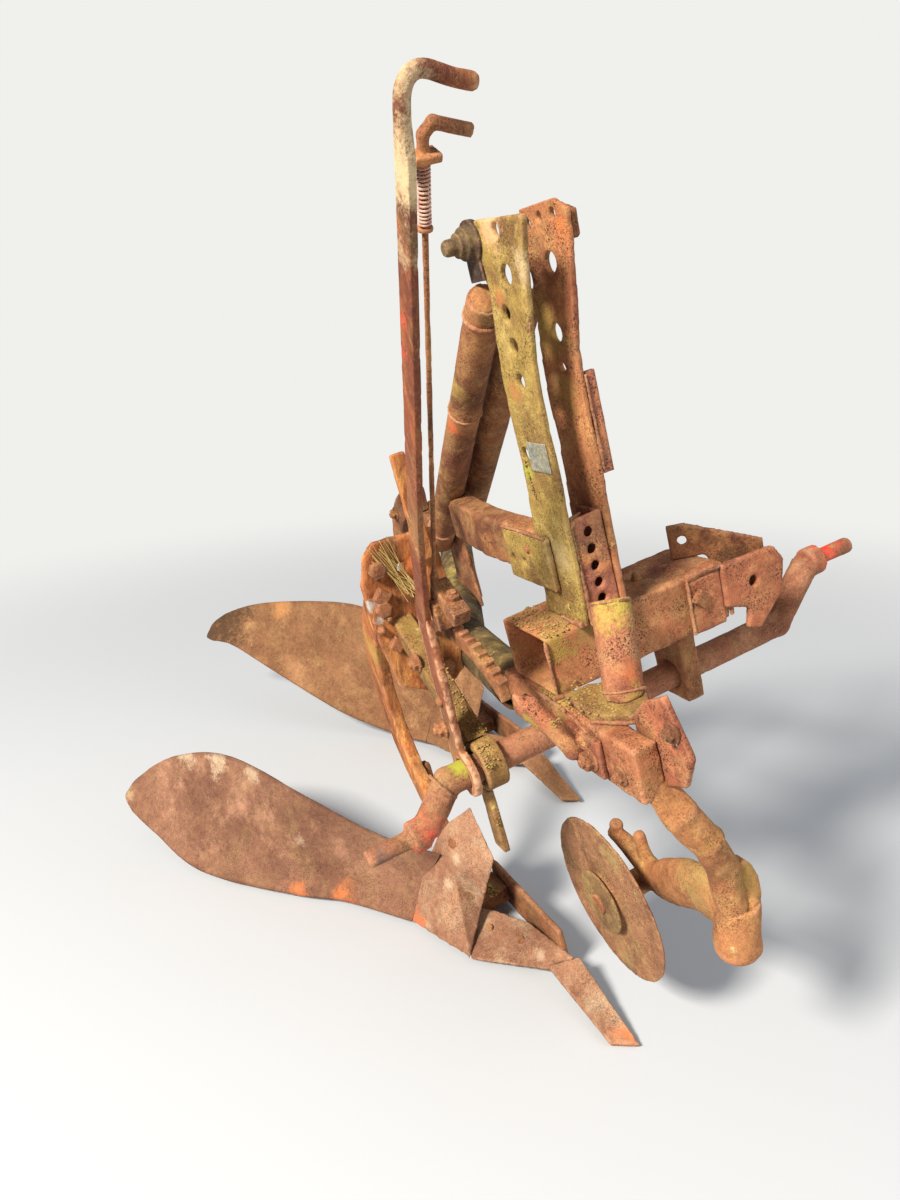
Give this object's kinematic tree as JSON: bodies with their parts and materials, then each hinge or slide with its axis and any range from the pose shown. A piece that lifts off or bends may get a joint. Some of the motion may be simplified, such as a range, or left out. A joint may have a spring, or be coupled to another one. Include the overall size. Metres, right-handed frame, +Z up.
{
  "type": "moldboard plough",
  "caption": "Tractor-mounted right-hand moldboard plough: headstock, cranked cross shaft with a long setting lever, curved legs, boards, shares and a disc coulter.",
  "frame": {"origin": "centre of the bounding box's base, on the ground the plough is parked on", "axes": "+Z up, +Y to the plough's rear (travel is -Y), +X to its left (land) side; the plough itself leans 12 degrees to its right and is pitched 3 degrees nose up, as it is parked"},
  "size_m": [1.2037, 1.9473, 1.3533],
  "materials": {
    "rusted_steel": "rusted through, rough",
    "mossy_steel": "rust under moss",
    "worn_plate": "even brown rust on once polished plate",
    "faded_red_paint": "faded red paint, mostly gone",
    "grey_plate": "dull, blank",
    "dark_iron": "dark, dry rust"
  },
  "bodies": {
    "frame": {"front_beam": "rusted_steel", "main_tube": "mossy_steel", "cross_beam": "rusted_steel", "cross_lap": "rusted_steel", "end_hook": "rusted_steel", "rear_plate": "rusted_steel", "headstock_left": "rusted_steel", "headstock_right": "mossy_steel", "headstock_foot": "rusted_steel", "weld_strip": "rusted_steel", "blank_plate": "grey_plate", "front_brace": "rusted_steel", "brace_foot": "mossy_steel", "strut_front": "rusted_steel", "strut_rear": "rusted_steel", "strut_lug": "rusted_steel", "strut_bolt": "rusted_steel", "top_link_pin": "dark_iron", "bent_brace": "rusted_steel", "brace_post": "rusted_steel", "holed_plate": "mossy_steel", "leg_plate": "rusted_steel", "red_strip": "faded_red_paint", "plate_bolts": "rusted_steel", "shaft_carrier": "mossy_steel", "shaft_eye": "mossy_steel", "shaft_hanger": "rusted_steel", "hanging_bar": "mossy_steel", "quadrant": "rusted_steel", "quadrant_arm": "rusted_steel", "beam_lug": "rusted_steel", "front_leg": "rusted_steel", "front_frog": "rusted_steel", "front_landside": "rusted_steel", "front_share": "worn_plate", "front_point": "worn_plate", "front_shin": "worn_plate", "front_board": "worn_plate", "rear_leg_head": "rusted_steel", "rear_leg": "rusted_steel", "rear_frog": "rusted_steel", "rear_landside": "rusted_steel", "rear_share": "worn_plate", "rear_point": "worn_plate", "rear_shin": "worn_plate", "rear_board": "worn_plate", "coulter_stem": "rusted_steel"},
    "lever_shaft": {"cross_shaft": "faded_red_paint", "lever": "faded_red_paint", "latch": "rusted_steel", "latch_spring": "rusted_steel"},
    "coulter_arm": {"coulter_casting": "rusted_steel", "disc_axle": "rusted_steel"},
    "disc": {"coulter_disc": "rusted_steel"}
  },
  "joints": [
    {"name": "shaft_turn", "type": "hinge", "parent": "frame", "child": "lever_shaft", "pos_m": [-0.12292, -0.62155, 0.50677], "axis": [0.9781, 0, 0.2079], "range_deg": [-20, 17]},
    {"name": "coulter_swivel", "type": "hinge", "parent": "frame", "child": "coulter_arm", "pos_m": [0.11624, -0.93743, 0.33395], "axis": [-0.2076, 0.0523, 0.9768], "range_deg": [-20, 20]},
    {"name": "disc_spin", "type": "hinge", "parent": "coulter_arm", "child": "disc", "pos_m": [0.08457, -0.66589, 0.23282], "axis": [0.9781, 0, 0.2079], "continuous": true}
  ]
}
